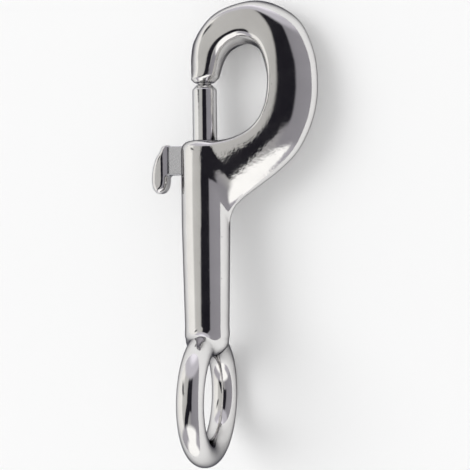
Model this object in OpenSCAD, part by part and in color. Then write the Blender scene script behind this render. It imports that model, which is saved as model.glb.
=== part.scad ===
// Fixed eye snap hook: a cast hook with a round stem and a rigid round eye,
// closed by a spring-loaded bolt that a thumb knob draws down its slot.
// It is drawn upright: x runs from the stem's axis to the hook's back, y across
// the hook's flat sides, z up the stem from the eye's centre. Then it is laid down.

/* [Main sizes] */
// Height of the seat, where the bolt comes out, above the eye's centre, mm
seat_z = 50.4; // [46:0.1:60]
// Rise of the hook's top above the seat, mm
hook_rise = 26.7; // [24:0.1:32]
// Reach of the hook's back from the stem's axis, mm
hook_reach = 22.6; // [20:0.1:27]
// Half depth of the hook across its flat sides, mm
hook_half = 4.5; // [4:0.05:5.5]
// Reach of the thumb pad from the stem's axis, mm
pad_reach = 10.8; // [9.5:0.1:13]

/* [Eye] */
// Centreline radius of the round eye, mm
eye_r = 10.9; // [9:0.1:13]
// Radius of the eye's round section, mm
eye_tube_r = 2.6; // [2:0.05:3.2]

/* [Stem] */
// Radius of the stem at the seat, mm
stem_r = 4.75; // [4:0.05:5.5]
// Radius of the stem near the eye, mm
stem_foot_r = 4.36; // [3.8:0.02:5]
// Rounding of the seat's rim, mm
seat_round = 0.9; // [0.3:0.1:1.5]
// Height of the stem's lowest point above the eye's centre, mm
stem_foot_z = 8.2; // [7:0.1:10]

/* [Hook section] */
// Lean of the bow's thickest line towards its inner edge, share of half the width
peak_lean = 0.72; // [0:0.01:0.8]
// Squareness of the bow's outer slope near its thickest line, 2 is an ellipse
outer_square = 2.05; // [1.8:0.05:3]
// Squareness of the bow's outer slope near its rim, 2 is an ellipse
rim_square = 1.8; // [1.5:0.05:3]
// Share of half the width that the nose's outer side slopes in
nose_outer_slope = 0.55; // [0:0.01:0.8]
// Share of half the width that the top's outer side slopes in
top_outer_slope = 0.25; // [0:0.01:0.8]
// Share of half the width that the nose's inner side slopes in
nose_inner_slope = 0.05; // [0:0.01:0.8]
// Share of half the width that the top's inner side slopes in
top_inner_slope = 0.2; // [0:0.01:0.8]

/* [Bolt] */
// Radius of the bolt, mm
bolt_r = 2.38; // [2:0.01:3]
// Running clearance between bolt and bore on the radius, mm
bolt_clearance = 0.08; // [0.02:0.01:0.1]
// Length of the bolt inside the stem, mm
bolt_hidden = 9.6; // [8:0.1:13]
// Depth of the bolt's tip in the nose, mm
tip_depth = 0.25; // [0.1:0.05:0.4]
// Length of the bolt's cone, mm
cone_length = 1.1; // [0.8:0.05:1.6]
// Length of the bolt's pilot tip, mm
tip_length = 0.5; // [0.3:0.05:0.8]
// Radius of the bolt's pilot tip, mm
tip_r = 1.3; // [1:0.05:1.6]
// Depth of the bore below the seat, mm
bore_depth = 31.6; // [28:0.1:34]

/* [Nose] */
// Radius of the nose's flat end, mm
nose_end_r = 1.95; // [1.7:0.05:2.4]
// Height of the chamfer round the nose's end, mm
nose_chamfer = 1.1; // [0.5:0.05:1.6]
// Radius of the recess that takes the bolt's tip, mm
recess_r = 1.47; // [1.2:0.01:1.8]
// Depth of the recess, mm
recess_depth = 0.5; // [0.4:0.05:1.2]

/* [Thumb knob] */
// Thickness of the knob's arm, mm
arm_t = 2.6; // [2:0.1:3]
// Height of the arm, mm
arm_height = 5.65; // [4:0.05:7]
// Drop of the arm's top below the seat, mm
arm_drop = 0.95; // [0.8:0.05:2]
// Distance of the pad's inner face from the stem's axis, mm
pad_in = 7.6; // [7:0.1:8.5]
// Height of the pad, mm
pad_height = 9.35; // [8:0.05:12]
// Width of the pad, mm
pad_w = 4.1; // [3:0.1:6]
// Rounding of the pad's edges, mm
pad_round = 0.8; // [0.3:0.05:1.2]
// Radius of the arm's round tang, mm
tang_r = 1.2; // [0.8:0.05:1.5]
// Reach of the tang past the bolt's axis, mm
tang_reach = 1.4; // [0.5:0.1:2]
// Depth that the arm runs into the pad, mm
arm_root = 1.0; // [0.5:0.1:1.5]
// Depth that the tang runs into the arm, mm
tang_root = 0.5; // [0.3:0.1:1]
// Clearance at the tang's end in its cross hole, mm
tang_clearance = 0.1; // [0.05:0.05:0.3]

/* [Slot] */
// Width of the slot in the stem, mm
slot_w = 3.0; // [2.4:0.1:3.4]
// Bolt travel down the slot, mm
travel = 10.4; // [6:0.1:11]

/* [Spring] */
// Radius of the spring's wire, mm
wire_r = 0.3; // [0.2:0.05:0.4]
// Mean radius of the spring's coils, mm
coil_r = 1.85; // [1.5:0.05:2]
// Number of turns
turns = 12; // [6:1:16]

/* [Rest on the ground] */
// Slope of the stem's axis, hook end down, degrees
rest_pitch = 7.01; // [0:0.01:15]
// Roll about the stem's axis, degrees
rest_roll = 0.6; // [-10:0.01:10]

/* [Hidden] */

cast = [0.80, 0.79, 0.79];
turned = [0.78, 0.78, 0.78];
cast_small = [0.74, 0.74, 0.74];
steel = [0.62, 0.62, 0.63];

// The hook from its nose to where it runs into the stem. Each row is one cut:
// inner edge and outer edge, each as reach h and rise over the seat, then half
// depth and squareness, for a hook of this reach, rise and half depth.
drawn_reach = 22.6;
drawn_rise = 26.7;
drawn_half = 4.5;
drawn_cuts = [
    [ 2.78, 11.30, -2.66, 11.30, 2.66, 2.4],
    [ 2.84, 11.85, -2.69, 11.90, 2.74, 2.5],
    [ 2.92, 12.70, -2.71, 12.80, 2.82, 2.8],
    [ 3.30, 14.10, -2.74, 14.60, 2.95, 3.4],
    [ 3.82, 15.70, -2.69, 16.75, 3.20, 4.0],
    [ 4.78, 17.05, -2.13, 19.45, 3.55, 4.2],
    [ 6.00, 17.88, -0.31, 22.40, 3.95, 4.2],
    [ 7.36, 18.30,  2.28, 24.65, 4.25, 4.2],
    [ 8.85, 18.45,  5.99, 26.10, 4.40, 4.2],
    [10.56, 17.73, 10.87, 26.70, 4.40, 4.2],
    [11.82, 16.32, 15.55, 25.10, 4.40, 3.8],
    [12.72, 14.01, 19.57, 21.70, 4.40, 3.2],
    [13.27, 11.35, 21.99, 15.95, 4.45, 2.7],
    [13.20,  8.88, 22.60,  9.90, 4.50, 2.7],
    [12.67,  6.22, 22.05,  5.00, 4.50, 2.7],
    [11.46,  3.73, 20.55,  0.75, 4.50, 2.7],
    [ 9.48,  1.80, 18.28, -3.02, 4.50, 2.7],
    [ 6.57,  0.50, 14.75, -6.35, 4.42, 2.6],
    [ 3.30, -0.10, 10.93, -9.08, 4.25, 2.6],
    [ 0.10, -0.20,  7.84, -11.25, 3.95, 2.5],
    [-2.10, -0.30,  5.80, -13.30, 3.55, 2.4],
    [-3.20, -0.80,  4.90, -15.80, 3.10, 2.3],
    [-3.50, -1.80,  4.55, -18.30, 2.70, 2.2]
];
function sized(c) = [
    c[0] * hook_reach / drawn_reach, seat_z + c[1] * hook_rise / drawn_rise,
    c[2] * hook_reach / drawn_reach, seat_z + c[3] * hook_rise / drawn_rise,
    c[4] * hook_half / drawn_half, c[5]
];
cuts = [for (c = drawn_cuts) sized(c)];
cut_steps = 3;
cut_points = 28;

// Side outline of the knob's pad from its top inner corner, as shares of its
// thickness outwards and of its height downwards.
drawn_pad = [
    [0, 0], [0.16, 0.02], [0.31, 0.06], [0.48, 0.13], [0.70, 0.24], [0.84, 0.36],
    [0.94, 0.49], [0.985, 0.61], [1, 0.74], [0.95, 0.85], [0.84, 0.935], [0.69, 0.985],
    [0.52, 1], [0.33, 0.98], [0.16, 0.925], [0.05, 0.84], [0, 0.71]
];

nose_z = cuts[0][1];
foot_swell = stem_foot_r + 0.06;
foot_height = 3.5;
foot_land = 0.4;
foot_taper = 2.1;
bore_r = bolt_r + bolt_clearance;
bore_foot_z = seat_z - bore_depth;
bolt_foot_z = seat_z - bolt_hidden;
tip_z = nose_z + tip_depth;
cone_top_z = tip_z - tip_length;
cone_foot_z = cone_top_z - cone_length;
recess_z = nose_z + recess_depth;
arm_top_z = seat_z - arm_drop;
arm_foot_z = arm_top_z - arm_height;
arm_mid_z = (arm_foot_z + arm_top_z) / 2;
arm_in = bolt_r + 0.75 * bolt_clearance;
tang_end = tang_reach - tang_clearance;
slot_top_z = arm_top_z + 0.1;
slot_foot_z = arm_foot_z - travel - 0.15;
pad_side = [for (p = drawn_pad) [-pad_in - p[0] * (pad_reach - pad_in), slot_top_z - p[1] * pad_height]];

// Smooth curve through four rows, from the second to the third.
function between(a, b, c, d, t) =
    0.5 * (2 * b + (c - a) * t + (2 * a - 5 * b + 4 * c - d) * t * t + (3 * b - a - 3 * c + d) * t * t * t);
function row(list, i) =
    i < 0 ? 2 * list[0] - list[1] :
    i > len(list) - 1 ? 2 * list[len(list) - 1] - list[len(list) - 2] : list[i];
function smooth(list, steps) = [
    for (i = [0 : len(list) - 2]) for (k = [0 : steps - 1])
        between(row(list, i - 1), row(list, i), row(list, i + 1), row(list, i + 2), k / steps),
    list[len(list) - 1]
];
function power(x, p) = sign(x) * pow(abs(x), 2 / p);
function ease(x) = let (t = max(0, min(1, x))) t * t * (3 - 2 * t);
// Share of the full lean at cut i: none at the nose and none in the stem.
function lean_at(i) = ease((i - 8.5) / 4) * (1 - ease((i - 18.5) / 4));
// Slope of a side at cut i, from the nose's to the top's, gone where the bow leans.
function slope_at(i, nose, top) = (nose + (top - nose) * ease((i - 3) / 6)) * (1 - lean_at(i)) * ease(i / 3);
// One cut through the hook as a closed ring: two half rings that meet on the
// cut's thickest line, each with its own squareness and slope.
function cut_ring(c, i) = [
    for (k = [0 : cut_points - 1])
        let (a = 360 * k / cut_points, inner = cos(a) < 0, lean = lean_at(i), top = -peak_lean * lean,
             p = inner ? c[5] : c[5] + (outer_square - c[5]) * lean,
             q = inner ? c[5] : c[5] + (rim_square - c[5]) * lean,
             slope = inner ? slope_at(i, nose_inner_slope, top_inner_slope) : slope_at(i, nose_outer_slope, top_outer_slope),
             w = power(sin(a), q), u = top + power(cos(a), p) * (inner ? 1 + top : 1 - top) * (1 - slope * abs(w)))
            [(c[0] + c[2]) / 2 + (c[2] - c[0]) / 2 * u, c[4] * w, (c[1] + c[3]) / 2 + (c[3] - c[1]) / 2 * u]
];
function flat(lists) = [for (l = lists) for (p = l) p];
// Skin over rings of m points each, capped at both ends.
function skin_faces(rings, m) = concat(
    [[for (k = [m - 1 : -1 : 0]) k]],
    [for (i = [0 : rings - 2]) for (k = [0 : m - 1]) [i * m + k, i * m + (k + 1) % m, (i + 1) * m + k]],
    [for (i = [0 : rings - 2]) for (k = [0 : m - 1]) [i * m + (k + 1) % m, (i + 1) * m + (k + 1) % m, (i + 1) * m + k]],
    [[for (k = [0 : m - 1]) (rings - 1) * m + k]]
);

hook_cuts = smooth(cuts, cut_steps);
hook_rings = [for (i = [0 : len(hook_cuts) - 1]) cut_ring(hook_cuts[i], i / cut_steps)];

// Resting on the ground: directions of the row's axes seen from the hook.
up = [-cos(rest_pitch) * sin(rest_roll), -cos(rest_pitch) * cos(rest_roll), -sin(rest_pitch)];
along_raw = [0, 0, 1] - up[2] * up;
along = along_raw / norm(along_raw);
side = cross(along, up);
hook_points = flat(hook_rings);
pad_far = [for (p = pad_side) [p[0], 0, p[1]]];
function eye_far(v) = eye_r * norm([v[1], v[2]]) + eye_tube_r;
ground = min(-eye_far(up), min([for (p = hook_points) p * up]));
y_low = -eye_far(along);
y_high = max([for (p = hook_points) p * along]);
x_low = min([for (p = pad_far) p * side]) - 0.1;
x_high = max([for (p = hook_points) p * side]);
shift = [-(x_low + x_high) / 2, -(y_low + y_high) / 2, -ground];

module laid_down() {
    multmatrix([
        [side[0], side[1], side[2], shift[0]],
        [along[0], along[1], along[2], shift[1]],
        [up[0], up[1], up[2], shift[2]],
        [0, 0, 0, 1]
    ]) children();
}

module hook_arm() {
    polyhedron(points = hook_points, faces = skin_faces(len(hook_rings), cut_points), convexity = 6);
}

module stem() {
    rotate_extrude($fn = 96) polygon([
        for (a = [90 : -15 : 0]) [foot_swell * cos(a), stem_foot_z + foot_height * (1 - sin(a))],
        [foot_swell, stem_foot_z + foot_height + foot_land],
        [stem_foot_r, stem_foot_z + foot_height + foot_land + foot_taper],
        [stem_r, stem_foot_z + 0.6 * (seat_z - stem_foot_z)], [stem_r, seat_z - seat_round],
        [stem_r - seat_round * 0.13, seat_z - seat_round * 0.5],
        [stem_r - seat_round * 0.5, seat_z - seat_round * 0.13],
        [stem_r - seat_round, seat_z], [0, seat_z]
    ]);
}

module eye() {
    rotate([0, 90, 0]) rotate_extrude($fn = 128) translate([eye_r, 0]) circle(r = eye_tube_r, $fn = 64);
}

// What the chamfer takes off round the nose's end.
module nose_trim() {
    below = 0.5;
    rotate_extrude($fn = 64) polygon([
        [nose_end_r - below, nose_z - below], [nose_end_r + nose_chamfer, nose_z + nose_chamfer],
        [hook_half + 1, nose_z + nose_chamfer], [hook_half + 1, nose_z - below]
    ]);
}

// Cast body: hook, web, stem and eye in one piece, with its bore, slot and recess.
module hook_body() {
    color(cast) laid_down() difference() {
        union() {
            stem();
            eye();
            hook_arm();
        }
        translate([0, 0, bore_foot_z]) cylinder(r = bore_r, h = seat_z - bore_foot_z + 1, $fn = 64);
        translate([-stem_r - 1, -slot_w / 2, slot_foot_z])
            cube([stem_r + 1, slot_w, slot_top_z - slot_foot_z]);
        nose_trim();
        translate([0, 0, nose_z - 1]) cylinder(r = recess_r, h = recess_depth + 1, $fn = 64);
    }
}

// Sliding gate pin with a coned tip and a cross hole for the knob's tang.
module bolt() {
    color(turned) laid_down() difference() {
        rotate_extrude($fn = 64) polygon([
            [0, bolt_foot_z], [bolt_r - 0.3, bolt_foot_z], [bolt_r, bolt_foot_z + 0.3],
            [bolt_r, cone_foot_z], [tip_r, cone_top_z], [tip_r, tip_z], [0, tip_z]
        ]);
        translate([tang_reach, 0, arm_mid_z]) rotate([0, -90, 0])
            cylinder(r = tang_r, h = tang_reach + 2 * bolt_r, $fn = 48);
    }
}

// Pad outline drawn in by d along its own edge normals, set off at depth n.
function pad_ring(d, n) = [
    for (i = [0 : len(pad_side) - 1])
        let (a = pad_side[(i + len(pad_side) - 1) % len(pad_side)], b = pad_side[(i + 1) % len(pad_side)],
             t = (b - a) / norm(b - a))
            [pad_side[i][0] - t[1] * d, n, pad_side[i][1] + t[0] * d]
];
pad_angles = [90, 60, 30, 0];
pad_rings = concat(
    [for (a = pad_angles) pad_ring(pad_round * (1 - cos(a)), -pad_w / 2 + pad_round - pad_round * sin(a))],
    [for (i = [3 : -1 : 0]) let (a = pad_angles[i])
        pad_ring(pad_round * (1 - cos(a)), pad_w / 2 - pad_round + pad_round * sin(a))]
);

// Thumb knob: pad, arm through the slot, and the tang held in the bolt.
module thumb_knob() {
    color(cast_small) laid_down() union() {
        polyhedron(points = flat(pad_rings), faces = skin_faces(len(pad_rings), len(pad_side)), convexity = 4);
        translate([-pad_in - arm_root, -arm_t / 2, arm_foot_z])
            cube([pad_in + arm_root - arm_in, arm_t, arm_top_z - arm_foot_z]);
        translate([tang_end, 0, arm_mid_z]) rotate([0, -90, 0])
            cylinder(r = tang_r, h = tang_end + arm_in + tang_root, $fn = 48);
    }
}

spring_low = bore_foot_z + wire_r + 0.02;
spring_high = bolt_foot_z - wire_r - 0.02;
wire_points = 8;
turn_steps = 18;
end_rise = 2.1 * wire_r;
// Height of the wire's centre after s turns: a close turn at each end.
function wire_z(s) =
    s < 1 ? spring_low + end_rise * s :
    s > turns - 1 ? spring_high - end_rise * (turns - s) :
    spring_low + end_rise + (spring_high - spring_low - 2 * end_rise) * (s - 1) / (turns - 2);
function wire_ring(s) =
    let (a = 360 * s, rise = (wire_z(min(s + 0.05, turns)) - wire_z(max(s - 0.05, 0))) / (s < 0.04 || s > turns - 0.04 ? 0.05 : 0.1),
         lean = atan2(rise, 2 * PI * coil_r))
        [for (k = [0 : wire_points - 1])
            let (b = 360 * k / wire_points, r = coil_r + wire_r * cos(b), w = wire_r * sin(b))
                [r * cos(a) + w * sin(lean) * sin(a), r * sin(a) - w * sin(lean) * cos(a), wire_z(s) + w * cos(lean)]];
wire_rings = [for (k = [0 : turns * turn_steps]) wire_ring(k / turn_steps)];

// Compression spring in the bore under the bolt.
module spring() {
    color(steel) laid_down()
        polyhedron(points = flat(wire_rings), faces = skin_faces(len(wire_rings), wire_points), convexity = 12);
}

hook_body();
bolt();
thumb_knob();
spring();
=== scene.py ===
import math

import bpy
import numpy as np
from mathutils import Matrix, Vector


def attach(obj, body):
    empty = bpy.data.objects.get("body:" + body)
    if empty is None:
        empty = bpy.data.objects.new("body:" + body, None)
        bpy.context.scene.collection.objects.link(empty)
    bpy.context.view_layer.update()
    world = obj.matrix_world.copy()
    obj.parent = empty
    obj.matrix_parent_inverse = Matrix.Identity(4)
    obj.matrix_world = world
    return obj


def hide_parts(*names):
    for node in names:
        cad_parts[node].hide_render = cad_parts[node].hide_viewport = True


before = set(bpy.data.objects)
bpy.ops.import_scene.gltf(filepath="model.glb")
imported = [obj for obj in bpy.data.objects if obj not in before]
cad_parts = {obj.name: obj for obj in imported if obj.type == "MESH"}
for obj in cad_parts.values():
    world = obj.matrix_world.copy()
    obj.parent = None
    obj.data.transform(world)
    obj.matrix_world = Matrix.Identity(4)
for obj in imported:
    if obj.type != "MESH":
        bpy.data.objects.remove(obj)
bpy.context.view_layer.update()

# ------------------------------------------------------------------ sizes, mm
# Heights are over the eye's centre unless the line says otherwise.
SEAT_Z = 50.4                    # the stem's top, where the bolt comes out
HOOK_RISE = 26.7                 # the hook's top over the seat
HOOK_REACH = 22.6                # the hook's back from the stem's axis
HOOK_HALF = 4.5                  # half the hook's depth, front to back
PEAK_LEAN = 0.72                 # shift of the bow's thickest line inwards, in half widths
OUTER_SQUARE = 2.05              # squareness of the bow's outer side, across it
RIM_SQUARE = 1.8                 # and through its depth
OUTER_SLOPE = (0.55, 0.25)       # fall of the outer side at the nose and at the top
INNER_SLOPE = (0.05, 0.2)        # fall of the inner side there
NOSE_END_R = 1.95                # radius of the nose's flat end, inside its chamfer
RECESS_R = 1.47                  # hole in the nose that takes the bolt's tip
RECESS_DEPTH = 0.5

EYE_R = 10.9                     # to the middle of the eye's round bar
EYE_TUBE = 2.6
STEM_R = 4.75
STEM_FOOT_R = 4.36
STEM_FOOT_Z = 8.2
FULL_WIDTH_AT = 0.6              # share of the stem's height at which it reaches STEM_R
FOOT_SWELL = STEM_FOOT_R + 0.06  # the stem's swollen foot: radius, then dome, land and taper
FOOT_HEIGHT = 3.5
FOOT_LAND = 0.4
FOOT_TAPER = 2.1

BOLT_R = 2.38
CLEARANCE = 0.08
BOLT_HIDDEN = 9.6                # bolt below the seat when it is closed
TIP_R = 1.3
TIP_DEPTH = 0.25                 # the tip's end above the nose's end
TIP_LENGTH = 0.5
CONE_LENGTH = 1.1
BORE_DEPTH = 31.6
TRAVEL = 10.4

ARM_T = 2.6                      # thickness of the knob's arm
ARM_HEIGHT = 5.65
ARM_DROP = 0.95                  # the arm's top below the seat
ARM_GAP = 0.06                   # between the arm's root and the bolt
ARM_IN_PAD = 1.0                 # length of arm sunk in the pad
PAD_IN = 7.6                     # the pad's inner face from the stem's axis
PAD_REACH = 10.8                 # its outer face
PAD_HEIGHT = 9.35
PAD_W = 4.1
PAD_ROUND = 1.15
SLOT_W = 3.0
SLOT_ABOVE = 0.1                 # slot above the arm when closed
SLOT_BELOW = 0.15                # and below it when open

WIRE_R = 0.3
COIL_R = 1.85
TURNS = 12
COIL_GAP = 0.02                  # between the spring's ends and what they press on
CLOSED_PITCH = 2.1               # rise of the end turns, in wire radii

REST_PITCH = math.radians(7.01)  # how the part lies
REST_ROLL = math.radians(0.6)

# Widths over which the casting's forms melt into each other.
SEAT_BLEND = 2.4
FOOT_BLEND = 0.6
EYE_BLEND = 1.3
NOSE_BLEND = 0.35
CHAMFER_BLEND = 0.15
WEB_BLEND = 0.3                  # stem to hook, and how much more below the seat
WEB_BLEND_MORE = 1.5
WEB_BELOW_SEAT = (6.4, 0.4)      # the height, reach and cuts over which it grows or goes
WEB_REACH = (0.0, 2.5)
WEB_CUTS = (19, 21.3)
KNOB_BLEND = 0.7
ARM_ROUND = 0.2

# The hook's cuts from nose to stem: inner edge and outer edge, each as reach and
# rise over the seat, then half depth and squareness. They are drawn for this
# reach, rise and half depth.
DRAWN_REACH, DRAWN_RISE, DRAWN_HALF = 22.6, 26.7, 4.5
CUTS = np.array([
    [2.78, 11.30, -2.66, 11.30, 2.66, 2.4], [2.84, 11.85, -2.69, 11.90, 2.74, 2.5],
    [2.92, 12.70, -2.71, 12.80, 2.82, 2.8], [3.30, 14.10, -2.74, 14.60, 2.95, 3.4],
    [3.82, 15.70, -2.69, 16.75, 3.20, 4.0], [4.78, 17.05, -2.13, 19.45, 3.55, 4.2],
    [6.00, 17.88, -0.31, 22.40, 3.95, 4.2], [7.36, 18.30, 2.28, 24.65, 4.25, 4.2],
    [8.85, 18.45, 5.99, 26.10, 4.40, 4.2], [10.56, 17.73, 10.87, 26.70, 4.40, 4.2],
    [11.82, 16.32, 15.55, 25.10, 4.40, 3.8], [12.72, 14.01, 19.57, 21.70, 4.40, 3.2],
    [13.27, 11.35, 21.99, 15.95, 4.45, 2.7], [13.20, 8.88, 22.60, 9.90, 4.50, 2.7],
    [12.67, 6.22, 22.05, 5.00, 4.50, 2.7], [11.46, 3.73, 20.55, 0.75, 4.50, 2.7],
    [9.48, 1.80, 18.28, -3.02, 4.50, 2.7], [6.57, 0.50, 14.75, -6.35, 4.42, 2.6],
    [3.30, -0.10, 10.93, -9.08, 4.25, 2.6], [0.10, -0.20, 7.84, -11.25, 3.95, 2.5],
    [-2.10, -0.30, 5.80, -13.30, 3.55, 2.4], [-3.20, -0.80, 4.90, -15.80, 3.10, 2.3],
    [-3.50, -1.80, 4.55, -18.30, 2.70, 2.2]])
CUTS[:, [0, 2]] *= HOOK_REACH / DRAWN_REACH
CUTS[:, [1, 3]] *= HOOK_RISE / DRAWN_RISE
CUTS[:, 4] *= HOOK_HALF / DRAWN_HALF
CUTS[:, [1, 3]] += SEAT_Z
LAST_CUT = len(CUTS) - 1

# Cuts between which the section leans, leans no more, and the sides' slopes change.
LEAN_GROWS = (8.5, 12.5)
LEAN_GOES = (18.5, 22.5)
SLOPE_TURNS = (3, 9)
SLOPE_STARTS = (0, 3)

NOSE_Z = CUTS[0, 1]
BORE_R = BOLT_R + CLEARANCE
BORE_FOOT = SEAT_Z - BORE_DEPTH
BOLT_FOOT = SEAT_Z - BOLT_HIDDEN
TIP_Z = NOSE_Z + TIP_DEPTH
RECESS_Z = NOSE_Z + RECESS_DEPTH
CONE_TOP = TIP_Z - TIP_LENGTH
CONE_FOOT = CONE_TOP - CONE_LENGTH
ARM_TOP = SEAT_Z - ARM_DROP
ARM_FOOT = ARM_TOP - ARM_HEIGHT
SLOT_TOP = ARM_TOP + SLOT_ABOVE
SLOT_FOOT = ARM_FOOT - TRAVEL - SLOT_BELOW

# The pad's side outline as shares of its thickness outwards and its height down,
# closed by two points of its flat inner face, within the arm's height.
PAD_SIDE = [(-PAD_IN - a * (PAD_REACH - PAD_IN), SLOT_TOP - b * PAD_HEIGHT) for a, b in (
    (0, 0), (0.16, 0.02), (0.31, 0.06), (0.48, 0.13), (0.70, 0.24), (0.84, 0.36),
    (0.94, 0.49), (0.985, 0.61), (1, 0.74), (0.95, 0.85), (0.84, 0.935), (0.69, 0.985),
    (0.52, 1), (0.33, 0.98), (0.16, 0.925), (0.05, 0.84), (0, 0.71))]
PAD_INNER_FACE = [(-PAD_IN, ARM_FOOT + 1.4), (-PAD_IN, ARM_TOP - 1.9)]

# Boxes (h, y, z from and to) that the surfaces are sampled in, and the cells' sizes.
BODY_BOX = ((-5.6, -14.2, -14.2), (23.4, 14.2, 77.9))
BODY_CELL = 0.3
KNOB_BOX = ((-11.2, -2.4, 39.8), (-2.1, 2.4, 50.0))
KNOB_CELL = 0.12

# -------------------------- frames: h, y, z of the drawn hook -> the row, mm to m
# h runs from the stem's axis to the hook's back, y through the flat sides and
# z up the stem. UP and ALONG are the row's own up and length in that frame.
UP = np.array([-math.cos(REST_PITCH) * math.sin(REST_ROLL),
               -math.cos(REST_PITCH) * math.cos(REST_ROLL),
               -math.sin(REST_PITCH)])
ALONG = np.array([0, 0, 1.0]) - UP[2] * UP
ALONG /= np.linalg.norm(ALONG)
SIDE = np.cross(ALONG, UP)
TURN = np.vstack([SIDE, ALONG, UP])


def spline(a, b, c, d, t):
    """Smooth curve through b and c, at share t between them, with a before and d after."""
    return 0.5 * (2 * b + (c - a) * t + (2 * a - 5 * b + 4 * c - d) * t * t
                  + (3 * b - a - 3 * c + d) * t ** 3)


def rows_at(s):
    """The cuts' numbers at places s along the hook, on a smooth curve through them."""
    s = np.clip(np.asarray(s, float), 0, LAST_CUT)
    pad = np.vstack([2 * CUTS[0] - CUTS[1], CUTS, 2 * CUTS[-1] - CUTS[-2]])
    i = np.minimum(s.astype(int), LAST_CUT - 1)
    return spline(pad[i], pad[i + 1], pad[i + 2], pad[i + 3], (s - i)[..., None])


def step01(x, lo, hi):
    """Soft step from 0 to 1 between lo and hi."""
    t = np.clip((x - lo) / (hi - lo), 0, 1)
    return t * t * (3 - 2 * t)


def lean_at(s):
    """Share of the section's lean towards the inner edge: none at the nose and in the stem."""
    return step01(s, *LEAN_GROWS) * (1 - step01(s, *LEAN_GOES))


def slope_at(s, nose, top):
    """Slope of a side, from the nose's to the top's, gone where the bow leans."""
    slope = nose + (top - nose) * step01(s, *SLOPE_TURNS)
    return slope * (1 - lean_at(s)) * step01(s, *SLOPE_STARTS)


def skin_points(per=3, around=28):
    """The bow's skin as the solids have it, for the bounds that place the part."""
    s = np.linspace(0, LAST_CUT, LAST_CUT * per + 1)
    rows = rows_at(s)
    lean = lean_at(s)[:, None]
    square, depth = rows[:, 5:6], rows[:, 4:5]
    turn = np.arange(around) * 2 * math.pi / around
    inner = np.cos(turn) < 0
    top = -PEAK_LEAN * lean
    p, q = (np.where(inner, square, square + (k - square) * lean) for k in (OUTER_SQUARE, RIM_SQUARE))
    w = np.sign(np.sin(turn)) * np.abs(np.sin(turn)) ** (2 / q)
    slope = np.where(inner, slope_at(s, *INNER_SLOPE)[:, None], slope_at(s, *OUTER_SLOPE)[:, None])
    half = np.where(inner, 1 + top, 1 - top) * (1 - slope * np.abs(w))
    u = top + np.sign(np.cos(turn)) * np.abs(np.cos(turn)) ** (2 / p) * half
    h, z = ((rows[:, k:k + 1] + rows[:, k + 2:k + 3]) / 2
            + (rows[:, k + 2:k + 3] - rows[:, k:k + 1]) / 2 * u for k in (0, 1))
    return np.stack([h, depth * w, z], -1).reshape(-1, 3)


def eye_far(v):
    """The eye's reach from its centre along v."""
    return EYE_R * math.hypot(v[1], v[2]) + EYE_TUBE


def row_shift():
    """What brings the turned part to the row's middle, standing on its floor."""
    skin = skin_points()
    pad_side = min(np.array([h, 0, z]) @ SIDE for h, z in PAD_SIDE) - 0.1
    return -np.array([(pad_side + (skin @ SIDE).max()) / 2,
                      (-eye_far(ALONG) + (skin @ ALONG).max()) / 2,
                      min(-eye_far(UP), (skin @ UP).min())])


SHIFT = row_shift()


def to_row(p):
    """Points in mm of the drawn hook to metres of the row."""
    return (np.asarray(p, float) @ TURN.T + SHIFT) / 1000


def dir_row(v):
    """Directions of the drawn hook to those of the row."""
    return np.asarray(v, float) @ TURN.T


# ------------------------------------------------------------ the cast body
def across_at(rows, h, z):
    """Place u across the cuts' lines (-1 inner, 1 outer edge), distance off them and their length."""
    dh, dz = rows[..., 2] - rows[..., 0], rows[..., 3] - rows[..., 1]
    length = np.hypot(dh, dz)
    mid_h, mid_z = (rows[..., 0] + rows[..., 2]) / 2, (rows[..., 1] + rows[..., 3]) / 2
    u = 2 * ((h - mid_h) * dh + (z - mid_z) * dz) / length ** 2
    off = ((h - rows[..., 0]) * dz - (z - rows[..., 1]) * dh) / length
    return u, off, length


def place_on_hook(h, z, tries_per_cut=10, mends=4, nudge=1e-3, least_rate=0.2, most_step=0.3):
    """Place s along the hook and u across it for points of its plane, with the cut's half width,
    half depth and squareness there, and how far the point lies past the last cut."""
    best = np.full(h.shape, 1e9)
    s = np.zeros(h.shape)
    starts = np.linspace(0, LAST_CUT, LAST_CUT * tries_per_cut + 1)
    for start, row in zip(starts, rows_at(starts)):
        u, off, length = across_at(row, h, z)
        cost = np.abs(off) + 0.5 * length * np.maximum(np.abs(u) - 1, 0)
        nearer = cost < best
        best[nearer] = cost[nearer]
        s[nearer] = start
    for _ in range(mends):
        before, here, after = (across_at(rows_at(s + ds), h, z)[1] for ds in (-nudge, 0, nudge))
        rate = (after - before) / (2 * nudge)
        usable = np.abs(rate) > least_rate
        step = np.where(usable, here / np.where(usable, rate, 1), 0)
        s = np.clip(s - np.clip(step, -most_step, most_step), 0, LAST_CUT)
    rows = rows_at(s)
    u, off, length = across_at(rows, h, z)
    past = np.where(s > LAST_CUT - nudge, np.abs(off), -9.0)
    return s, u, length / 2, rows[..., 4], rows[..., 5], past


def smin(a, b, k):
    """The smaller of two, softened where they are within k of each other."""
    t = np.maximum(k - np.abs(a - b), 0) / k
    return np.minimum(a, b) - t * t * k * 0.25


def smax(a, b, k):
    return -smin(-a, -b, k)


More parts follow.
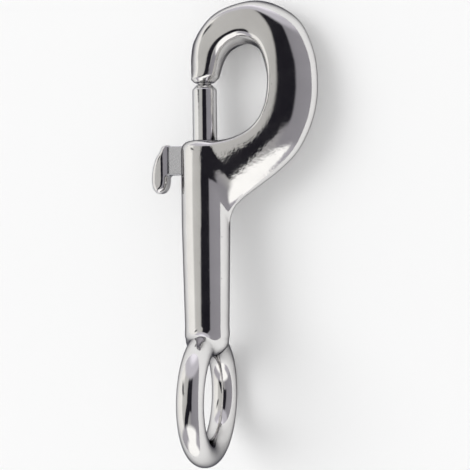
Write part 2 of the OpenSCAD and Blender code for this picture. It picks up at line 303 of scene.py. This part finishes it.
def hook_shape(s, u, half, depth, square, past, n, z, tiny=1e-6):
    """The bow's skin, negative inside, from places on the hook, ended at the nose and in the stem."""
    lean = lean_at(s)
    top = -PEAK_LEAN * lean
    inner = u < top
    q = np.where(inner, square, square + (RIM_SQUARE - square) * lean)
    p = np.where(inner, square, square + (OUTER_SQUARE - square) * lean)
    through = np.abs(n / depth) + tiny
    slope = np.where(inner, slope_at(s, *INNER_SLOPE), slope_at(s, *OUTER_SLOPE))
    side = half * np.where(inner, 1 + top, 1 - top) * (1 - slope * np.minimum(through, 1.1))
    across = np.abs(u - top) * half / side + tiny
    m = (p + q) / 2
    g = (across ** p + through ** q) ** (1 / m)
    g_across = p / m * across ** (p - 1) * g ** (1 - m) / side
    g_through = q / m * through ** (q - 1) * g ** (1 - m) / depth
    f = np.maximum((g - 1) / np.maximum(np.hypot(g_across, g_through), 0.05), -6.0)
    nose_end = np.where(s < 1.2, NOSE_Z - z, -5.0)
    return np.maximum(smax(f, nose_end, NOSE_BLEND), past)


def stem_shape(h, n, z):
    """The stem, widening upwards from its swollen, domed foot over the eye."""
    rho = np.hypot(h, n)
    foot_top = STEM_FOOT_Z + FOOT_HEIGHT
    land_top = foot_top + FOOT_LAND
    full_width = STEM_FOOT_Z + FULL_WIDTH_AT * (SEAT_Z - STEM_FOOT_Z)
    wall = rho - np.interp(z, [land_top, land_top + FOOT_TAPER, full_width],
                           [FOOT_SWELL, STEM_FOOT_R, STEM_R])
    below = np.minimum(z - foot_top, 0) * FOOT_SWELL / FOOT_HEIGHT
    foot = np.sqrt(rho ** 2 + below ** 2) - FOOT_SWELL - np.maximum(z - foot_top, 0)
    return smax(smax(wall, z - SEAT_Z, SEAT_BLEND), foot, FOOT_BLEND)


def eye_shape(h, n, z):
    return np.hypot(np.hypot(n, z) - EYE_R, h) - EYE_TUBE


def with_chamfer(f, h, n, z):
    """The shape f with the 45 degree chamfer round the nose's end."""
    rho = np.hypot(h, n)
    chamfer = (rho - NOSE_END_R - (z - NOSE_Z)) / math.sqrt(2)
    near_nose = (rho < 5) & (np.abs(z - NOSE_Z) < 3)
    return np.where(near_nose, smax(f, chamfer, CHAMFER_BLEND), f)


def body_shape(h, n, z, places=None):
    """The whole casting, before its bore, slot and recess are cut."""
    places = place_on_hook(h, z) if places is None else places
    hook = hook_shape(*places, n, z)
    under_seat = 1 - step01(z, *(SEAT_Z - d for d in WEB_BELOW_SEAT))
    web = under_seat * step01(h, *WEB_REACH) * (1 - step01(places[0], *WEB_CUTS))
    f = smin(stem_shape(h, n, z), hook, WEB_BLEND + WEB_BLEND_MORE * web)
    return smin(with_chamfer(f, h, n, z), eye_shape(h, n, z), EYE_BLEND)


def body_field(axes):
    """body_shape on a whole grid, with the places found once for its plane."""
    places = place_on_hook(*np.meshgrid(axes[0], axes[2], indexing="ij"))
    return body_shape(axes[0][:, None, None], axes[1][None, :, None], axes[2][None, None, :],
                      [v[:, None, :] for v in places])


# --------------------------------------------------- surfaces from shapes
RING = ((0, 0), (-1, 0), (-1, -1), (0, -1))   # the four cells round an edge of the grid


def crossings(values, d):
    """Edges along axis d whose ends differ in sign: places, crossing points, and if they start inside."""
    lower, upper = [slice(None)] * 3, [slice(None)] * 3
    lower[d], upper[d] = slice(0, -1), slice(1, None)
    a, b = values[tuple(lower)], values[tuple(upper)]
    change = (a < 0) != (b < 0)
    a, b = a[change], b[change]
    places = np.argwhere(change)
    points = places.astype(float)
    points[:, d] += a / (a - b)
    return places, points, a < 0


def cells_round(places, d):
    """Index of each of the four cells round the edges along axis d."""
    across, up = (k for k in range(3) if k != d)
    for da, db in RING:
        cell = places.copy()
        cell[:, across] += da
        cell[:, up] += db
        yield tuple(cell.T)


def value_and_gradient(shape, p, e=0.02):
    f = shape(p[:, 0], p[:, 1], p[:, 2])
    g = np.stack([(shape(*(p + d).T) - shape(*(p - d).T)) / (2 * e) for d in np.eye(3) * e], 1)
    return f, g


def surface(shape, box, cell, field=None, mends=4):
    """Points, quads and normals of the surface where shape(h, n, z) is zero."""
    lo, hi = np.array(box, float)
    counts = np.ceil((hi - lo) / cell).astype(int) + 1
    axes = [lo[i] + cell * np.arange(counts[i]) for i in range(3)]
    values = field(axes) if field else shape(*np.meshgrid(*axes, indexing="ij"))
    found = [crossings(values, d) for d in range(3)]

    total = np.zeros((*(counts - 1), 3))
    met = np.zeros(counts - 1)
    for d, (places, points, _) in enumerate(found):
        for cells in cells_round(places, d):
            np.add.at(total, cells, points)
            np.add.at(met, cells, 1)
    used = met > 0
    number = np.full(counts - 1, -1, int)
    number[used] = np.arange(used.sum())
    pts = total[used] / met[used][:, None] * cell + lo

    quads = []
    for d, (places, _, starts_inside) in enumerate(found):
        quad = np.stack([number[cells] for cells in cells_round(places, d)], 1)
        flip = starts_inside if d == 1 else ~starts_inside
        quad[flip] = quad[flip][:, ::-1]
        quads.append(quad)

    for _ in range(mends):
        f, g = value_and_gradient(shape, pts)
        steep = np.maximum((g * g).sum(1), 0.05)
        pts -= np.clip(f / steep, -cell, cell)[:, None] * g
    g = value_and_gradient(shape, pts)[1]
    return pts, np.vstack(quads), g / np.linalg.norm(g, axis=1)[:, None]


# ------------------------------------------------------------------- meshes
def make_mesh(name, pts, faces, smooth=True):
    me = bpy.data.meshes.new(name)
    me.from_pydata([tuple(p) for p in np.asarray(pts)], [], [tuple(int(i) for i in f) for f in faces])
    me.validate()
    me.polygons.foreach_set("use_smooth", [smooth] * len(me.polygons))
    me.update()
    ob = bpy.data.objects.new(name, me)
    bpy.context.scene.collection.objects.link(ob)
    return ob


def points_of(me):
    co = np.empty(len(me.vertices) * 3)
    me.vertices.foreach_get("co", co)
    return co.reshape(-1, 3)


def corners_of(me):
    """The vertex that each face corner stands on."""
    loops = np.empty(len(me.loops), int)
    me.loops.foreach_get("vertex_index", loops)
    return loops


def cut_with(ob, cutters):
    """Cuts the cutters out of the mesh and deletes them."""
    for c in cutters:
        m = ob.modifiers.new("cut", "BOOLEAN")
        m.operation = "DIFFERENCE"
        m.solver = "EXACT"
        m.object = c
    graph = bpy.context.evaluated_depsgraph_get()
    me = bpy.data.meshes.new_from_object(ob.evaluated_get(graph))
    old = ob.data
    ob.modifiers.clear()
    ob.data = me
    bpy.data.meshes.remove(old)
    for c in cutters:
        data = c.data
        bpy.data.objects.remove(c)
        bpy.data.meshes.remove(data)


def turned(name, profile, seg=96):
    """Solid of revolution about the stem's axis from (radius, z) points, in mm."""
    turn = np.arange(seg) * 2 * math.pi / seg
    pts, faces, rings = [], [], []
    for r, z in profile:
        if r < 1e-6:
            rings.append([len(pts)])
            pts.append((0, 0, z))
        else:
            rings.append(list(range(len(pts), len(pts) + seg)))
            pts += [(r * math.cos(t), r * math.sin(t), z) for t in turn]
    for lo, hi in zip(rings, rings[1:]):
        for k in range(seg):
            k2 = (k + 1) % seg
            quad = [lo[k % len(lo)], lo[k2 % len(lo)], hi[k2 % len(hi)], hi[k % len(hi)]]
            face = list(dict.fromkeys(quad))
            if len(face) > 2:
                faces.append(face[::-1])
    return make_mesh(name, pts, faces)


def box_mesh(name, lo, hi):
    corners = [(h, n, z) for h in (lo[0], hi[0]) for n in (lo[1], hi[1]) for z in (lo[2], hi[2])]
    faces = [(0, 1, 3, 2), (4, 6, 7, 5), (0, 4, 5, 1), (2, 3, 7, 6), (0, 2, 6, 4), (1, 5, 7, 3)]
    return make_mesh(name, corners, faces, False)


def to_place(ob, normals=None):
    """Mesh in mm to the row frame, with its own normals if it has them."""
    me = ob.data
    me.vertices.foreach_set("co", to_row(points_of(me)).ravel())
    me.update()
    if normals is not None:
        me.normals_split_custom_set([tuple(v) for v in dir_row(normals)])


def rounded(corners, steps=5):
    """(radius, z) outline from (radius, z, rounding) corners, the two ends left as they are."""
    out = [corners[0][:2]]
    for before, here, after in zip(corners, corners[1:], corners[2:]):
        p, q, t = (np.array(c[:2], float) for c in (before, here, after))
        a, b = (p - q) / np.linalg.norm(p - q), (t - q) / np.linalg.norm(t - q)
        half = math.acos(a @ b) / 2
        back = here[2] / math.tan(half)
        centre = q + (a + b) / np.linalg.norm(a + b) * here[2] / math.sin(half)
        start, end = (math.atan2(*(q + v * back - centre)[::-1]) for v in (a, b))
        sweep = (end - start + math.pi) % (2 * math.pi) - math.pi
        angles = start + sweep * np.arange(steps + 1) / steps
        out += [tuple(centre + here[2] * np.array([math.cos(t), math.sin(t)])) for t in angles]
    return out + [corners[-1][:2]]


# ----------------------------------------------------------------- sub-parts
def body_normals(me, on_shape=0.01, bore_band=0.06):
    """Normals of the face corners: the shape's own outside, round in the bore, flat in the cuts."""
    points = points_of(me)
    corners = corners_of(me)
    value, outward = value_and_gradient(body_shape, points)
    outward /= np.linalg.norm(outward, axis=1)[:, None] + 1e-12
    normals = np.zeros((len(corners), 3))
    for face in me.polygons:
        span = slice(face.loop_start, face.loop_start + face.loop_total)
        at = corners[span]
        flat = np.array(face.normal)
        from_axis = math.hypot(face.center[0], face.center[1])
        if np.abs(value[at]).max() < on_shape and outward[at].mean(0) @ flat > 0.5:
            normals[span] = outward[at]
        elif abs(from_axis - BORE_R) < bore_band and abs(flat[2]) < 0.2:
            to_axis = -points[at] * [1, 1, 0]
            normals[span] = to_axis / np.linalg.norm(to_axis, axis=1)[:, None]
        else:
            normals[span] = flat
    return normals


def build_body(past=1, past_seat=3):
    """The casting; the cutters run past its surface by past and past_seat."""
    pts, quads, _ = surface(body_shape, BODY_BOX, BODY_CELL, body_field)
    ob = make_mesh("cast_body", pts, quads)
    bore_top = SEAT_Z + past_seat
    bore = turned("bore", [(0, BORE_FOOT), (BORE_R, BORE_FOOT), (BORE_R, bore_top), (0, bore_top)])
    below = NOSE_Z - past
    recess = turned("recess", [(0, below), (RECESS_R, below), (RECESS_R, RECESS_Z), (0, RECESS_Z)], 64)
    slot = box_mesh("slot", (-STEM_R - past, -SLOT_W / 2, SLOT_FOOT), (0.0, SLOT_W / 2, SLOT_TOP))
    cut_with(ob, [bore, recess, slot])
    to_place(ob, body_normals(ob.data))
    return ob


def outline_distance(q, h, z):
    """Signed distance to a closed outline, negative inside."""
    d = np.full(h.shape, 1e9)
    sign = np.ones(h.shape)
    for i in range(len(q)):
        a, b = q[i], q[i - 1]
        e = b - a
        wx, wz = h - a[0], z - a[1]
        t = np.clip((wx * e[0] + wz * e[1]) / (e @ e), 0, 1)
        d = np.minimum(d, (wx - e[0] * t) ** 2 + (wz - e[1] * t) ** 2)
        c = np.array([z >= a[1], z < b[1], e[0] * wz > e[1] * wx])
        sign = np.where(c.all(0) | (~c).all(0), -sign, sign)
    return sign * np.sqrt(d)


def smooth_loop(points, steps):
    """Smooth closed curve through the points."""
    q = np.array(points, float)
    return np.array([spline(q[i - 1], q[i], q[(i + 1) % len(q)], q[(i + 2) % len(q)], k / steps)
                     for i in range(len(q)) for k in range(steps)])


PAD_LOOP = smooth_loop(PAD_SIDE + PAD_INNER_FACE, 6)


def rounded_box(a, b, r):
    """Where two signed distances both hold, with the edge between them rounded by r."""
    a, b = a + r, b + r
    return np.minimum(np.maximum(a, b), 0) + np.hypot(np.maximum(a, 0), np.maximum(b, 0)) - r


def knob_shape(h, y, z):
    """The pad and the arm that carries it, as far as the bolt."""
    pad = rounded_box(outline_distance(PAD_LOOP, h, z), np.abs(y) - PAD_W / 2, PAD_ROUND)
    arm_start, arm_end = BOLT_R + ARM_GAP, PAD_IN + ARM_IN_PAD
    along = np.abs(h + (arm_end + arm_start) / 2) - (arm_end - arm_start) / 2
    up = np.abs(z - (ARM_FOOT + ARM_TOP) / 2) - (ARM_TOP - ARM_FOOT) / 2
    arm = rounded_box(rounded_box(along, up, ARM_ROUND), np.abs(y) - ARM_T / 2, ARM_ROUND)
    return smin(pad, arm, KNOB_BLEND)


def build_knob():
    """The thumb piece; the arm's faces take the second material."""
    pts, quads, normals = surface(knob_shape, KNOB_BOX, KNOB_CELL)
    ob = make_mesh("thumb_piece", pts, quads)
    arm_from = -PAD_IN + 0.1
    ob.data.polygons.foreach_set("material_index", [int(p.center[0] > arm_from) for p in ob.data.polygons])
    to_place(ob, normals[corners_of(ob.data)])
    return ob


def build_bolt():
    profile = rounded([(0, BOLT_FOOT, 0), (BOLT_R, BOLT_FOOT, 0.3), (BOLT_R, CONE_FOOT, 0.5),
                       (TIP_R, CONE_TOP, 0.12), (TIP_R, TIP_Z, 0.15), (0, TIP_Z, 0)])
    ob = turned("gate_pin", profile, 128)
    to_place(ob)
    return ob


def build_spring(seg=36, around=12):
    """Round wire wound between the bore's foot and the bolt's, with closed end turns."""
    lo = BORE_FOOT + WIRE_R + COIL_GAP
    hi = BOLT_FOOT - WIRE_R - COIL_GAP
    rise = CLOSED_PITCH * WIRE_R
    s = np.arange(TURNS * seg + 1) / seg
    open_turns = lo + rise + (hi - lo - 2 * rise) * (s - 1) / (TURNS - 2)
    z = np.where(s < 1, lo + rise * s, np.where(s > TURNS - 1, hi - rise * (TURNS - s), open_turns))
    lean = np.arctan2(np.gradient(z, s), 2 * math.pi * COIL_R)[:, None]
    a, z = (s * 2 * math.pi)[:, None], z[:, None]
    b = (np.arange(around) * 2 * math.pi / around)[None]
    r, w = COIL_R + WIRE_R * np.cos(b), WIRE_R * np.sin(b)
    pts = np.stack([r * np.cos(a) + w * np.sin(lean) * np.sin(a),
                    r * np.sin(a) - w * np.sin(lean) * np.cos(a),
                    z + w * np.cos(lean)], -1)
    faces = []
    for i in range(len(s) - 1):
        here, there = i * around, (i + 1) * around
        faces += [(here + (k + 1) % around, here + k, there + k, there + (k + 1) % around)
                  for k in range(around)]
    faces += [tuple(range(around)), tuple((len(s) - 1) * around + k for k in reversed(range(around)))]
    ob = make_mesh("coil_spring", pts.reshape(-1, 3), faces)
    to_place(ob)
    return ob


# ------------------------------------------------------------- shader nodes
def add(nt, kind, **vals):
    """A node with these inputs or settings."""
    n = nt.nodes.new(kind)
    for k, v in vals.items():
        if k in n.inputs:
            n.inputs[k].default_value = v
        else:
            setattr(n, k, v)
    return n


def feed(nt, value, socket):
    """Links a socket in, or sets a plain number."""
    if isinstance(value, (int, float)):
        socket.default_value = value
    else:
        nt.links.new(value, socket)


def math_of(nt, op, *args):
    n = add(nt, "ShaderNodeMath", operation=op)
    for a, socket in zip(args, n.inputs):
        feed(nt, a, socket)
    return n.outputs[0]


def times(nt, a, b):
    return math_of(nt, "MULTIPLY", a, b)


def mapped(nt, x, span, values=(0.0, 1.0), kind="LINEAR"):
    """x over span turned to values."""
    r = add(nt, "ShaderNodeMapRange", interpolation_type=kind)
    r.inputs["From Min"].default_value, r.inputs["From Max"].default_value = span
    r.inputs["To Min"].default_value, r.inputs["To Max"].default_value = values
    nt.links.new(x, r.inputs["Value"])
    return r.outputs[0]


def ramp(nt, x, stops):
    """Colour ramp from (place, grey or colour) stops."""
    r = nt.nodes.new("ShaderNodeValToRGB")
    elements = r.color_ramp.elements
    while len(elements) < len(stops):
        elements.new(0.5)
    for element, (place, colour) in zip(elements, stops):
        element.position = place
        element.color = (*(colour if isinstance(colour, tuple) else (colour,) * 3), 1)
    nt.links.new(x, r.inputs[0])
    return r.outputs[0]


def noise(nt, where, scale, detail, roughness=0.5):
    n = add(nt, "ShaderNodeTexNoise", Scale=scale, Detail=detail, Roughness=roughness)
    nt.links.new(where, n.inputs["Vector"])
    return n.outputs["Fac"]


def bumped(nt, height, strength, depth, under=None):
    """Normal raised by height, on top of the normal under it."""
    n = add(nt, "ShaderNodeBump", Strength=strength, Distance=depth)
    nt.links.new(height, n.inputs["Height"])
    if under:
        nt.links.new(under, n.inputs["Normal"])
    return n.outputs[0]


# ---------------------------------------------------------------- materials
PAINTED_DARK_RIM_TINT = (0.10, 0.10, 0.12, 1)                   # painted dark rims: the plate's colour seen edge on, set near black
CROOK = to_row(np.array([9.0, -3.0, SEAT_Z - 2.5]))  # where the casting is roughest
CROOK_SPAN = (0.007, 0.015)                         # metres from there, full to faint
CROOK_FAINT = 0.08


def shader_of(name):
    """A new material, its tree and its shader."""
    m = bpy.data.materials.new(name)
    m.use_nodes = True
    nt = m.node_tree
    nt.nodes.clear()
    out = nt.nodes.new("ShaderNodeOutputMaterial")
    shader = nt.nodes.new("ShaderNodeBsdfPrincipled")
    nt.links.new(shader.outputs[0], out.inputs[0])
    return m, nt, shader


def near_crook(nt, where):
    away = add(nt, "ShaderNodeVectorMath", operation="DISTANCE")
    nt.links.new(where, away.inputs[0])
    away.inputs[1].default_value = tuple(CROOK)
    return mapped(nt, away.outputs["Value"], CROOK_SPAN, (1.0, CROOK_FAINT), "SMOOTHSTEP")


def pitted(nt, where, under):
    """Small round dents in about half of a scatter of cells."""
    cell = add(nt, "ShaderNodeTexVoronoi", Scale=560.0)
    nt.links.new(where, cell.inputs["Vector"])
    apart = add(nt, "ShaderNodeSeparateColor")
    nt.links.new(cell.outputs["Color"], apart.inputs[0])
    dent = ramp(nt, cell.outputs["Distance"], [(0.03, 1.0), (0.10, 0.0)])
    chosen = ramp(nt, apart.outputs[0], [(0.55, 0.0), (1.0, 1.0)])
    return bumped(nt, times(nt, dent, chosen), 0.6, 0.00004, under)


def plated(name, tint, rough, ripple, seed=0.0, pits=True, crook=False):
    """Bright nickel plate with painted dark rims: cloudy gloss, slow ripple, fine scuffs, as-cast patches and
    a few pits.
    """
    m, nt, shader = shader_of(name)
    shader.inputs["Metallic"].default_value = 1.0
    # Edge tint near black: painted shade that darkens the plate at grazing angles into dark rims.
    shader.inputs["Specular Tint"].default_value = PAINTED_DARK_RIM_TINT
    here = add(nt, "ShaderNodeTexCoord").outputs["Object"]
    shifted = add(nt, "ShaderNodeMapping")
    shifted.inputs["Location"].default_value = (seed, seed * 0.7, -seed)
    nt.links.new(here, shifted.inputs["Vector"])
    where = shifted.outputs[0]

    cloud = noise(nt, where, 160.0, 4.0, 0.6)
    scuffs = noise(nt, where, 1400.0, 5.0, 0.65)
    dulled = tuple(c * 0.93 for c in tint)
    nt.links.new(ramp(nt, cloud, [(0.3, dulled), (0.7, tint)]), shader.inputs["Base Color"])
    worn = math_of(nt, "ADD", times(nt, scuffs, 0.5), times(nt, cloud, 0.5))
    nt.links.new(mapped(nt, worn, (0.35, 0.68), rough), shader.inputs["Roughness"])

    skin = bumped(nt, noise(nt, where, 260.0, 2.0), ripple, 0.00006)
    patch = ramp(nt, noise(nt, where, 95.0, 1.0), [(0.44, 0.0), (0.60, 1.0)])
    if crook:
        patch = times(nt, patch, near_crook(nt, here))
    as_cast = times(nt, noise(nt, where, 1100.0, 3.0, 0.6), patch)
    skin = bumped(nt, as_cast, 0.7 if pits else 0.2, 0.00007, skin)
    if pits:
        skin = pitted(nt, where, skin)
    grain = noise(nt, where, 2600.0, 3.0, 0.6)
    nt.links.new(bumped(nt, grain, 0.12, 0.00001, skin), shader.inputs["Normal"])
    return m


def wire_steel(name):
    """Drawn spring wire, duller than the plate."""
    m, nt, shader = shader_of(name)
    shader.inputs["Metallic"].default_value = 1.0
    grain = noise(nt, add(nt, "ShaderNodeTexCoord").outputs["Object"], 1500.0, 4.0)
    colour = ramp(nt, grain, [(0.3, (0.50, 0.50, 0.51)), (0.7, (0.62, 0.62, 0.63))])
    nt.links.new(colour, shader.inputs["Base Color"])
    nt.links.new(ramp(nt, grain, [(0.3, 0.25), (0.7, 0.42)]), shader.inputs["Roughness"])
    nt.links.new(bumped(nt, grain, 0.2, 0.00001), shader.inputs["Normal"])
    return m


def paper(name):
    """The floor's plain near-white sheet."""
    m, _, shader = shader_of(name)
    shader.inputs["Base Color"].default_value = (0.97, 0.97, 0.97, 1)
    shader.inputs["Roughness"].default_value = 0.9
    shader.inputs["Specular IOR Level"].default_value = 0.0
    return m


# -------------------------------------------------------------------- build
body = build_body()
body.data.materials.append(plated("body_nickel", (0.80, 0.79, 0.78), (0.05, 0.14), 0.35, crook=True))
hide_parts("hook_body")
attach(body, "hook")

pin = build_bolt()
pin.data.materials.append(plated("bolt_nickel", (0.78, 0.78, 0.78), (0.04, 0.10), 0.12, 3.1, pits=False))
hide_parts("bolt")
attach(pin, "gate")

knob = build_knob()
knob.data.materials.append(plated("knob_nickel", (0.78, 0.77, 0.77), (0.05, 0.14), 0.35, 5.7))
knob.data.materials.append(plated("arm_nickel", (0.66, 0.66, 0.68), (0.20, 0.36), 0.7, 8.3))
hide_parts("thumb_knob")
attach(knob, "gate")

coil = build_spring()
coil.data.materials.append(wire_steel("spring_steel"))
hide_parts("spring")
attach(coil, "hook")

# ------------------------------------------------------------------- camera
PICTURE = 470                    # pixels across the picture
PX = 92 / 469.5                  # mm to a pixel at the stem's axis
AXIS_COLUMN = 206.233            # picture column of the stem's axis, at the picture's middle
EYE_ROW = 398                    # picture row of the eye's centre
REACH = 203.0                    # mm from the stem's axis to the camera
SENSOR = 36.0
YAW = math.radians(16.635)
PITCH = math.radians(0.269)
ROLL = math.radians(0.676)


def from_camera(x, z, v):
    """Direction or offset in the picture's right, up and towards-viewer to h, y, z."""
    a = x * math.cos(ROLL) + z * math.sin(ROLL)
    b = -x * math.sin(ROLL) + z * math.cos(ROLL)
    zz = b * math.cos(PITCH) + v * math.sin(PITCH)
    vv = v * math.cos(PITCH) - b * math.sin(PITCH)
    return np.array([a * math.cos(YAW) + vv * math.sin(YAW), a * math.sin(YAW) - vv * math.cos(YAW), zz])


cam_right, cam_up, cam_back = (dir_row(from_camera(*v)) for v in ((1, 0, 0), (0, 1, 0), (0, 0, 1)))


def build_camera():
    aside = -(AXIS_COLUMN - PICTURE / 2) * PX
    middle_z = (EYE_ROW - PICTURE / 2) * PX
    at = to_row(from_camera(aside, 0, REACH) + [0, 0, middle_z])
    data = bpy.data.cameras.new("camera")
    data.sensor_fit = "HORIZONTAL"
    data.sensor_width = SENSOR
    data.lens = SENSOR * REACH / (PICTURE * PX)
    data.clip_start = 0.01
    data.clip_end = 20.0
    ob = bpy.data.objects.new("camera", data)
    bpy.context.scene.collection.objects.link(ob)
    ob.matrix_world = Matrix([[cam_right[i], cam_up[i], cam_back[i], at[i]] for i in range(3)]
                             + [[0, 0, 0, 1]])
    bpy.context.scene.camera = ob


build_camera()

# -------------------------------------------------------------------- floor
FLOOR_HALF = 3                   # metres
floor = make_mesh("floor", [(-FLOOR_HALF, -FLOOR_HALF, 0), (FLOOR_HALF, -FLOOR_HALF, 0),
                            (FLOOR_HALF, FLOOR_HALF, 0), (-FLOOR_HALF, FLOOR_HALF, 0)], [(0, 1, 2, 3)], False)
floor.data.materials.append(paper("floor_paper"))

# ------------------------------------------------------------------- studio
# Soft cards stand round the hook. Their edges are spans of degrees to the right
# of the line to the camera (az) or above it (el), over which each fades.
def warm(x):
    return (x, x * 0.985, x * 0.955)


def cool(x):
    return (x * 0.985, x * 0.955, x * 1.04)


WALL = [(-180, cool(0.50)), (-128, cool(0.63)), (-115, warm(1.02)), (-68, warm(1.04)), (-60, warm(0.60)),
        (-22, warm(0.53)), (13, cool(0.30)), (60, cool(0.34)), (105, cool(0.34)), (180, cool(0.50))]
FLAG = (0.012, 0.011, 0.016)     # a black flag by the camera, its left and lower edges aslant
FLAG_LEFT, FLAG_RIGHT = (-25, -19), (13, 20)
FLAG_LOW, FLAG_HIGH = (-17, -11), (35, 42)
FLAG_SLANT = 0.95
TOP_CARD = (cool(0.63), cool(1.07))   # low and high in it
TOP_EDGE, TOP_BRIGHTENS = (33, 45), (55, 75)
STREAK = (0.035, 0.033, 0.04)    # a thin dark strip, aslant at the upper left
STREAK_AT, STREAK_HALF = 50.0, (5, 12)
STREAK_LOW, STREAK_HIGH = (6, 12), (18, 28)
LOW_CARD = (1.25, 1.24, 1.22)    # a bright card low down, grey to both sides but for its foot
LOW_DULL = cool(0.48)
LOW_EDGE, LOW_FOOT = (-42, -32), (-68, -56)
LOW_LEFT, LOW_RIGHT = (-46, -30), (40, 56)

FILL = 0.72                      # share of the floor's light that comes from the dome
KEY_HEIGHT = math.radians(50)
KEY_TURN = 0.4                   # how far the key stands round towards the picture's top
KEY_EDGE = (math.radians(28), math.radians(10))
KEY_GAIN = 7.6                   # strength at which the key, overhead and alone, lights the floor at one


def share_along(nt, look, v):
    """Share of the direction looked in that lies along v."""
    d = add(nt, "ShaderNodeVectorMath", operation="DOT_PRODUCT")
    d.inputs[1].default_value = tuple(v)
    nt.links.new(look, d.inputs[0])
    return d.outputs["Value"]


def rise(nt, x, span):
    """Soft step from 0 to 1 over the span."""
    return mapped(nt, x, span, kind="SMOOTHSTEP")


def fade(nt, x, span):
    return math_of(nt, "SUBTRACT", 1.0, rise(nt, x, span))


def zone(nt, *shares):
    """Where all these soft steps hold at once."""
    z = shares[0]
    for s in shares[1:]:
        z = times(nt, z, s)
    return z


def lay(nt, base, share, over):
    """A card laid over what is there, in a zone. Both are a socket or a colour."""
    m = add(nt, "ShaderNodeMix", data_type="RGBA")
    nt.links.new(share, m.inputs[0])
    for colour, socket in ((base, m.inputs[6]), (over, m.inputs[7])):
        if isinstance(colour, tuple):
            socket.default_value = (*colour, 1)
        else:
            nt.links.new(colour, socket)
    return m.outputs[2]


def card_colours(nt, look):
    """What bright metal sees of the studio."""
    right, up, back = (share_along(nt, look, v) for v in (cam_right, cam_up, cam_back))
    az = math_of(nt, "DEGREES", math_of(nt, "ARCTAN2", right, back))
    el = math_of(nt, "DEGREES", math_of(nt, "ARCSINE", up))
    card = ramp(nt, mapped(nt, az, (-180, 180)), [((d + 180) / 360, c) for d, c in WALL])

    left = math_of(nt, "SUBTRACT", az, math_of(nt, "MINIMUM", el, 0.0))
    low = math_of(nt, "SUBTRACT", el, times(nt, math_of(nt, "MINIMUM", az, 0.0), FLAG_SLANT))
    flag = zone(nt, rise(nt, left, FLAG_LEFT), fade(nt, az, FLAG_RIGHT),
                rise(nt, low, FLAG_LOW), fade(nt, el, FLAG_HIGH))
    card = lay(nt, card, flag, FLAG)
    top = ramp(nt, rise(nt, el, TOP_BRIGHTENS), list(enumerate(TOP_CARD)))
    card = lay(nt, card, rise(nt, el, TOP_EDGE), top)

    off_streak = math_of(nt, "ABSOLUTE", math_of(nt, "ADD", math_of(nt, "ADD", az, el), STREAK_AT))
    streak = zone(nt, fade(nt, off_streak, STREAK_HALF), rise(nt, el, STREAK_LOW), fade(nt, el, STREAK_HIGH))
    card = lay(nt, card, streak, STREAK)

    ahead = zone(nt, rise(nt, az, LOW_LEFT), fade(nt, az, LOW_RIGHT))
    card = lay(nt, card, fade(nt, el, LOW_EDGE), lay(nt, LOW_DULL, ahead, LOW_CARD))
    return lay(nt, card, fade(nt, el, LOW_FOOT), LOW_CARD)


def light_strength(nt, look):
    """Plain dome and a soft key from the picture's upper left, which light the floor at one."""
    left = Vector((-cam_right[0], -cam_right[1], 0)).normalized()
    ahead = Vector((cam_up[0], cam_up[1], 0)).normalized()
    level = (left + KEY_TURN * ahead).normalized()
    key = level * math.cos(KEY_HEIGHT) + Vector((0, 0, math.sin(KEY_HEIGHT)))
    share = rise(nt, share_along(nt, look, key), [math.cos(a) for a in KEY_EDGE])
    gain = KEY_GAIN * (1 - FILL) / math.sin(KEY_HEIGHT)
    return math_of(nt, "MULTIPLY_ADD", share, gain, FILL)


def build_world():
    """Reflections see the cards, and everything else is lit by the dome and key."""
    world = bpy.data.worlds.new("studio")
    bpy.context.scene.world = world
    world.use_nodes = True
    nt = world.node_tree
    nt.nodes.clear()
    look = add(nt, "ShaderNodeTexCoord").outputs["Generated"]
    light = add(nt, "ShaderNodeBackground", Color=(1, 1, 1, 1))
    nt.links.new(light_strength(nt, look), light.inputs["Strength"])
    cards = add(nt, "ShaderNodeBackground", Strength=1.0)
    nt.links.new(card_colours(nt, look), cards.inputs["Color"])
    pick = add(nt, "ShaderNodeMixShader")
    nt.links.new(add(nt, "ShaderNodeLightPath").outputs["Is Glossy Ray"], pick.inputs[0])
    nt.links.new(light.outputs[0], pick.inputs[1])
    nt.links.new(cards.outputs[0], pick.inputs[2])
    nt.links.new(pick.outputs[0], add(nt, "ShaderNodeOutputWorld").inputs[0])


build_world()

bpy.context.scene.view_settings.view_transform = "Standard"
